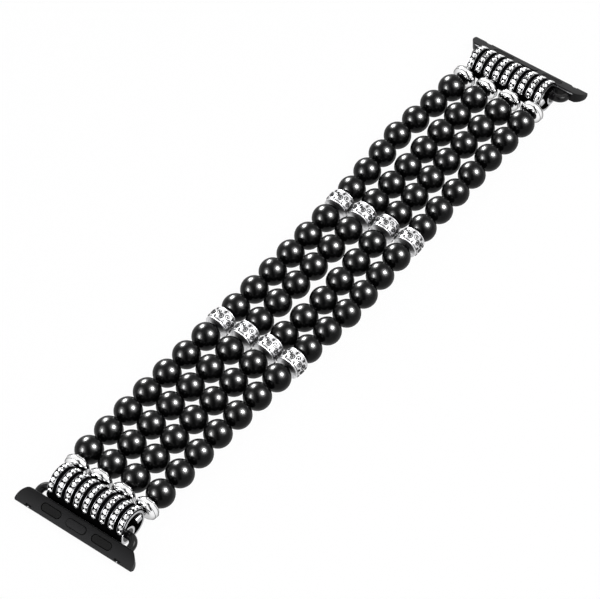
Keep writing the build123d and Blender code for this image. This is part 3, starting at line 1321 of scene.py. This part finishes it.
@dataclass
class Connector(EndPart):
    """A crystal-set connector with the cord ends inside it."""

    shell_radius: float = 3.4 * MM
    shell_lift: float = 0.15 * MM
    seat_clear: float = 0.02 * MM
    base_height: float = 0.24 * MM
    half_width: float = 10.0 * MM
    row_end_gap: float = 0.1 * MM
    row_width: float = 1.4 * MM
    rows: int = 9
    per_row: int = 8
    first_deg: float = 26.0
    step_deg: float = 20.6
    prong_radius: float = 0.08 * MM
    prong_out: float = 0.12 * MM
    prong_inset_share: float = 1.4
    prong_detail: int = 1
    middle: Vector = field(default_factory=Vector)

    def __post_init__(self) -> None:
        """Finds the middle of the shell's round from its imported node."""
        x = self.side("connector_shell", outer=False) + self.end.value * self.shell_radius
        self.middle = Vector((x, 0.0, self.shell_lift + self.shell_radius))

    def round_place(self, angle_deg: float, radius: float, y: float) -> Matrix:
        """Place on the shell's round, facing out.

        Args:
            angle_deg: Angle from the bead side, over the crest.
            radius: Distance from the shell's middle.
            y: Place across the band.

        Returns:
            A matrix whose local Z points out of the round and local X runs across the band.
        """
        angle = pi - radians(angle_deg)
        out = Vector((self.end.value * cos(angle), 0.0, sin(angle)))
        spot = self.middle + Vector((0.0, y, 0.0)) + out * radius
        across = Vector((0, 1, 0))
        return stood(spot, across, out.cross(across), out)

    def row_places(self) -> list[float]:
        """Places of the crystal rows across the band."""
        inner = self.half_width - self.row_end_gap - self.row_width / 2
        return [inner * (2 * n / (self.rows - 1) - 1) for n in range(self.rows)]

    def build(self) -> None:
        """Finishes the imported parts, cuts the crystals and sets the prongs."""
        ENAMELLED_SHELL.on(self.node("connector_shell"))
        CRYSTAL_SEATS.on(self.node("crystal_settings"))
        ENAMEL.on(self.node("enamel_strips"))
        PLAIN_STEEL.on(self.node("cord_crimps"))
        self.crystals()
        self.prongs()

    def crystals(self) -> None:
        """Sets a cut crystal at each seat."""
        master = Crystal().build()
        radius = self.shell_radius + self.seat_clear + self.base_height
        angles = [self.first_deg + self.step_deg * n for n in range(self.per_row)]
        places = [self.round_place(a, radius, y) for y in self.row_places() for a in angles]
        piece = copies(master, self.label("cut_crystals"), places)
        discard(master)
        nodes = self.label("crystals")
        self.keep(piece, CRYSTAL, self.label("connector"), "clear_crystal", nodes)

    def prongs(self) -> None:
        """Sets two small round prongs beside each gap between crystals."""
        master = ball("prong_master", self.prong_radius, self.prong_detail)
        radius = self.shell_radius + self.seat_clear + self.base_height + self.prong_out
        start = self.first_deg - self.step_deg / 2
        angles = [start + self.step_deg * n for n in range(1, self.per_row)]
        side = self.row_width / 2 - self.prong_radius * self.prong_inset_share
        places = []
        for y in self.row_places():
            for angle in angles:
                places += [self.round_place(angle, radius, y + s * side) for s in SIDES]
        piece = copies(master, self.label("prongs"), places)
        discard(master)
        self.keep(piece, PRONG_METAL, self.label("connector"), "polished_silver")


# Adapters


@dataclass
class Adapter(EndPart):
    """The lug that slides into the case, with its arms, pads, hinge bar and latch."""

    travel: tuple[float, float, float]
    coil_turns: float = 3.5
    coil_radius: float = 0.5 * MM
    coil_wire: float = 0.09 * MM
    coil_steps: int = 18
    coil_sides: int = 2
    stop_y: float = 11.8 * MM
    stop_from_tip: float = 0.31 * MM
    stop_size: tuple[float, float, float] = (0.46 * MM, 1.44 * MM, 0.26 * MM)
    stop_z: float = 1.1 * MM
    ball_from_tip: float = 0.16 * MM
    ball_radius: float = 0.17 * MM
    ball_detail: int = 3

    def build(self) -> None:
        """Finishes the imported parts, fills the notches and winds the latch's coil spring."""
        SATIN_BLACK.on(self.node("adapter"), self.node("latch_button"))
        PAD_RUBBER.on(self.node("adapter_pads"))
        GLOSSY_BLACK.on(self.node("hinge_bar"))
        self.stops()
        self.spring()

    def stops(self) -> None:
        """Fills the notches in the outer edge with dark stops, each with a bright ball."""
        body = self.label("adapter")
        tip = self.side("adapter", outer=True)
        stop_x = tip - self.end.value * self.stop_from_tip
        ball_x = tip - self.end.value * self.ball_from_tip
        ball_z = self.stop_z + self.stop_size[2] / 2
        cube = bpy.ops.mesh.primitive_cube_add
        blocks = []
        balls = []
        for side in SIDES:
            y = side * self.stop_y
            spot = (stop_x, y, self.stop_z)
            block = added(cube, "stop", size=1.0, location=spot, scale=self.stop_size)
            blocks.append(settle(block))
            balls.append(ball("ball", self.ball_radius, self.ball_detail, (ball_x, y, ball_z)))
        self.keep(joined(blocks, self.label("edge_stops")), GLOSSY_BLACK, body, "satin_black")
        self.keep(joined(balls, self.label("edge_balls")), PLAIN_STEEL, body, "spring_steel")

    def spring(self) -> None:
        """Winds the coil spring along the latch's way of travel, where its node stands."""
        node = self.label("latch_spring")
        low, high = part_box(node)
        middle = (low + high) / 2
        out = -Vector(self.travel)
        tube = (high.y - low.y) / 2
        reach = (high.x - low.x - 2 * tube * abs(out.z)) / (2 * abs(out.x))
        half = reach - self.coil_wire
        turn = out.to_track_quat("Z", "Y").to_matrix()
        line = []
        count = round(self.coil_turns * self.coil_steps)
        for n in range(count + 1):
            angle = tau * n / self.coil_steps
            rise = half * (2 * n / count - 1)
            spot = Vector((self.coil_radius * cos(angle), self.coil_radius * sin(angle), rise))
            line.append(middle + turn @ spot)
        piece = wire(self.label("coil_spring"), [line], self.coil_wire, self.coil_sides)
        self.keep(piece, PLAIN_STEEL, self.label("adapter"), "spring_steel", node)


# Studio


class Lights(Enum):
    """What a lamp lights."""

    DULL = "dull surfaces, unseen in reflections"
    POLISH = "reflections on everything"
    BEADS = "reflections on the beads"


@dataclass(frozen=True)
class Lamp:
    """One soft lamp; its way is right, up and towards the camera, in the camera's axes."""

    name: str
    way: tuple[float, float, float]
    distance: float
    size: Pair
    radiance: float
    lights: Lights


RIGHT_WAY = (0.62, 0.41, 0.68)
LEFT_WAY = (-0.79, -0.03, 0.61)
TOP_WAY = (-0.37, 0.92, -0.13)
LAMPS = (
    Lamp("key", RIGHT_WAY, 0.9, (0.6, 0.6), 6.6, Lights.DULL),
    Lamp("fill", LEFT_WAY, 0.9, (0.6, 0.6), 3.3, Lights.DULL),
    Lamp("box_right", RIGHT_WAY, 0.94, (0.5, 0.5), 9.0, Lights.POLISH),
    Lamp("box_left", LEFT_WAY, 0.94, (0.4, 0.7), 6.0, Lights.POLISH),
    Lamp("box_top", TOP_WAY, 0.94, (0.5, 0.5), 9.0, Lights.POLISH),
    Lamp("bead_right", RIGHT_WAY, 0.86, (0.34, 0.34), 320.0, Lights.BEADS),
    Lamp("halo_right", RIGHT_WAY, 1.0, (0.95, 0.95), 18.0, Lights.BEADS),
    Lamp("glow_right", RIGHT_WAY, 1.06, (1.7, 1.7), 1.6, Lights.BEADS),
    Lamp("bead_left", LEFT_WAY, 0.86, (0.22, 0.36), 115.0, Lights.BEADS),
    Lamp("halo_left", LEFT_WAY, 1.0, (0.8, 1.1), 11.0, Lights.BEADS),
    Lamp("glow_left", LEFT_WAY, 1.06, (1.2, 1.8), 1.3, Lights.BEADS),
    Lamp("bead_top", TOP_WAY, 0.86, (0.42, 0.24), 180.0, Lights.BEADS),
    Lamp("halo_top", TOP_WAY, 1.0, (0.9, 0.55), 13.0, Lights.BEADS),
    Lamp("glow_top", TOP_WAY, 1.06, (1.5, 0.9), 1.3, Lights.BEADS),
)


@dataclass
class Studio:
    """Floor, surroundings, lamps and the camera at the photograph's viewpoint."""

    photo_width: float = 600.0
    camera_mm: tuple[float, float, float] = (-349.9, -290.8, 538.6)
    roll_deg: float = -3.0
    focal_px: float = 3267.49
    shift_px: Pair = (15.059, -9.254)
    sensor_mm: float = 36.0
    clip_end: float = 20.0
    floor_size: float = 6.0
    floor_drop: float = 0.02 * MM
    floor_glow: float = 0.97
    floor_colour: Colour = (0.86, 0.86, 0.86)
    floor_roughness: float = 0.9
    room_light: float = 0.45
    gap_light: float = 0.02
    gap_shift: float = 0.04
    gap_half: float = 0.16
    gap_blur: float = 0.1

    def build(self) -> None:
        """Sets up the camera, the floor and the surroundings."""
        self.camera()
        self.floor()
        self.surroundings()
        bpy.context.scene.view_settings.view_transform = "Standard"

    def axes(self) -> tuple[Vector, Vector, Vector]:
        """Right, up and forward of the camera.

        Returns:
            Three unit vectors.
        """
        forward = -Vector(self.camera_mm).normalized()
        level = forward.cross(Vector((0, 0, 1))).normalized()
        lift = level.cross(forward)
        roll = radians(self.roll_deg)
        right = level * cos(roll) + lift * sin(roll)
        return right, right.cross(forward), forward

    def camera(self) -> None:
        """Places the camera where the photograph was taken from."""
        right, up, forward = self.axes()
        data = bpy.data.cameras.new("camera")
        data.sensor_width = self.sensor_mm
        data.lens = self.focal_px / self.photo_width * self.sensor_mm
        data.shift_x = -self.shift_px[0] / self.photo_width
        data.shift_y = self.shift_px[1] / self.photo_width
        data.clip_end = self.clip_end
        obj = linked("camera", data)
        obj.matrix_world = stood(Vector(self.camera_mm) * MM, right, up, -forward)
        bpy.context.scene.camera = obj

    def floor(self) -> None:
        """Lays the pale floor, which keeps a soft shadow and hides nothing that bends below it.

        Light from above lands on it. The camera sees through all but a thin share of it to the
        white beyond, and nothing under it is shaded by it.
        """
        plane = bpy.ops.mesh.primitive_plane_add
        spot = (0, 0, -self.floor_drop)
        floor = added(plane, "floor", size=self.floor_size, location=spot)
        made = bpy.data.materials.new("pale_floor")
        nodes = Nodes.of(made)
        dull = nodes.fill(
            nodes.tree.nodes["Principled BSDF"],
            {
                "Base Color": rgba(self.floor_colour),
                "Roughness": self.floor_roughness,
                "Specular IOR Level": 0.0,
            },
        )
        glow = nodes.add("ShaderNodeEmission", {"Color": WHITE, "Strength": 1.0})
        clear = nodes.add("ShaderNodeBsdfTransparent", {"Color": WHITE})
        bounced = nodes.math("MULTIPLY", nodes.ray("Glossy", "Transmission"), self.floor_glow)
        direct = nodes.math("MULTIPLY", nodes.ray("Camera"), self.floor_glow)
        below = nodes.add("ShaderNodeNewGeometry").outputs["Backfacing"]
        seen_through = nodes.math("MAXIMUM", direct, below)
        mixed = nodes.blend(seen_through, nodes.blend(bounced, dull, glow), clear)
        nodes.fill(nodes.tree.nodes["Material Output"], {"Surface": mixed.outputs[0]})
        floor.data.materials.append(made)

    def surroundings(self) -> None:
        """Sets a white background and a dimmer, even light for the object."""
        world = bpy.data.worlds.new("studio")
        bpy.context.scene.world = world
        nodes = Nodes.of(world)
        room = {"Color": WHITE, "Strength": self.room_light}
        dim = nodes.fill(nodes.tree.nodes["Background"], room)
        white = nodes.add("ShaderNodeBackground", {"Color": WHITE, "Strength": 1.0})
        dark = nodes.add("ShaderNodeBackground", {"Color": WHITE, "Strength": self.gap_light})
        lit = nodes.blend(nodes.ray("Camera", "Glossy", "Transmission"), dim, white)
        mixed = nodes.blend(self.dark_gap(nodes), lit, dark)
        nodes.fill(nodes.tree.nodes["World Output"], {"Surface": mixed.outputs[0]})

    def dark_gap(self, nodes: Nodes) -> Socket:
        """Where the white surroundings leave a dark gap, which only reflections show.

        Args:
            nodes: The world's tree.

        Returns:
            A socket that is 1 in the gap.
        """
        right, _, forward = self.axes()
        way = nodes.add("ShaderNodeTexCoord").outputs["Generated"]
        dots = []
        for axis in (right, -forward):
            level = Vector((axis.x, axis.y, 0.0)).normalized()
            dot = nodes.add("ShaderNodeVectorMath", {0: way, 1: level}, operation="DOT_PRODUCT")
            dots.append(dot.outputs["Value"])
        away = nodes.math("ABSOLUTE", nodes.math("SUBTRACT", dots[0], self.gap_shift))
        narrow = nodes.span(away, self.gap_half, self.gap_half + self.gap_blur, FALLING)
        ahead = nodes.span(dots[1], self.gap_blur, 2 * self.gap_blur)
        both = nodes.math("MULTIPLY", narrow, ahead)
        return nodes.math("MULTIPLY", both, nodes.ray("Glossy"))

    def hang(self, lamp: Lamp, gloss: bpy.types.Collection) -> None:
        """Hangs one soft lamp.

        Args:
            lamp: What hangs, and where.
            gloss: The pieces that a bead lamp lights.
        """
        right, up, forward = self.axes()
        out = (right * lamp.way[0] + up * lamp.way[1] - forward * lamp.way[2]).normalized()
        data = bpy.data.lights.new(lamp.name, "AREA")
        data.shape = "ELLIPSE"
        data.size, data.size_y = lamp.size
        area = pi / 4 * lamp.size[0] * lamp.size[1]
        data.energy = lamp.radiance * pi * area
        obj = linked(lamp.name, data)
        across = up.cross(out).normalized()
        obj.matrix_world = stood(out * lamp.distance, across, out.cross(across), out)
        obj.visible_diffuse = lamp.lights is Lights.DULL
        obj.visible_glossy = lamp.lights is not Lights.DULL
        obj.visible_transmission = lamp.lights is not Lights.DULL
        if lamp.lights is Lights.BEADS:
            obj.light_linking.receiver_collection = gloss

    def hang_all(self, beads: list[Obj]) -> None:
        """Hangs every lamp.

        Args:
            beads: The black beads, which have lamps of their own.
        """
        gloss = bpy.data.collections.new("bead_gloss")
        for bead in beads:
            gloss.objects.link(bead)
        for lamp in LAMPS:
            self.hang(lamp, gloss)


def main() -> None:
    """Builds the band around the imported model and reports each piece."""
    logging.basicConfig(level=logging.INFO, format="%(name)s: %(message)s")
    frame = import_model()
    studio = Studio()
    studio.build()
    strung = StrungRows(strung_rows(frame))
    parts: list[Assembly] = [strung]
    ways = {joint["name"]: tuple(joint["axis"]) for joint in frame["joints"]}
    for end in End:
        parts.append(Connector(end, frame["nodes"]))
        parts.append(Adapter(end, frame["nodes"], ways[f"{end.label}_latch_press"]))
    for part in parts:
        part.build()
        for piece in part.made:
            log.info("%s: %d faces", piece.name, len(piece.data.polygons))
    studio.hang_all([piece for piece in strung.made if piece.name.endswith("_beads")])


if __name__ == "__main__":
    main()
